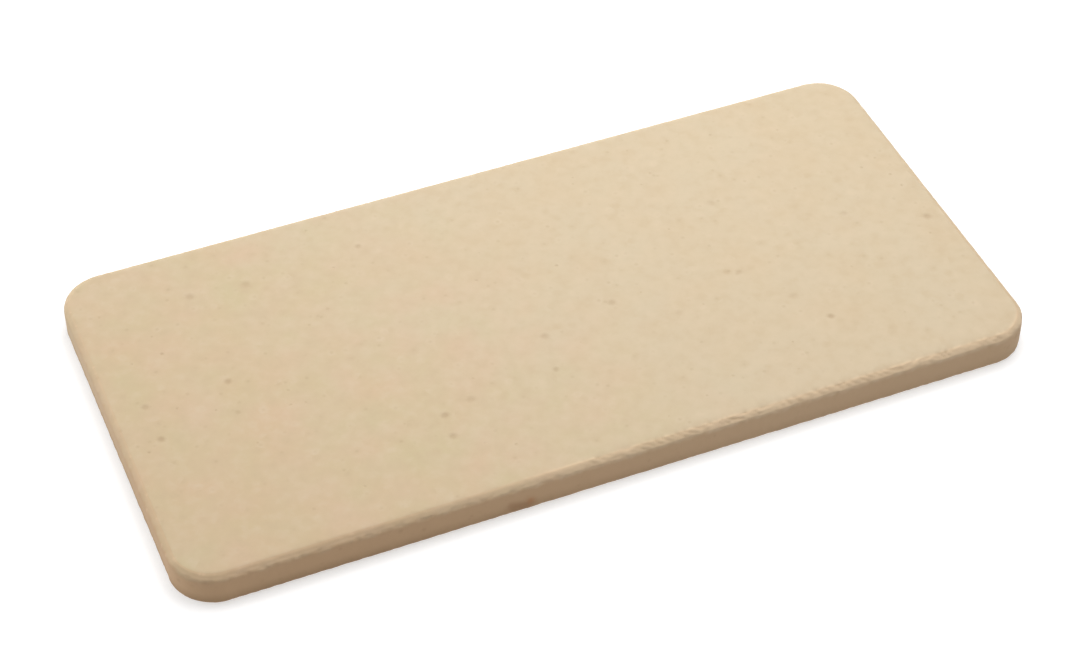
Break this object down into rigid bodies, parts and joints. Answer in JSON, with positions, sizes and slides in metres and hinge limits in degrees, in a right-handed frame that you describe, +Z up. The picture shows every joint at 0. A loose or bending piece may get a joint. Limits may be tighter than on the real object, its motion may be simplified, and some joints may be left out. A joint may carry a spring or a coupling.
{
  "type": "soldering board",
  "caption": "Flat rectangular refractory slab with rounded corners and a bevelled rim, laid on a bench to carry hot work while it is soldered.",
  "frame": {"origin": "centre of the underside, on the surface that the board lies on", "axes": "+X along the length, +Y across the width, +Z up through the thickness and out of the work face"},
  "size_m": [0.305, 0.15, 0.0127],
  "materials": {
    "fired_refractory": "matte"
  },
  "bodies": {
    "root": {"soldering_board": "fired_refractory"}
  },
  "joints": []
}
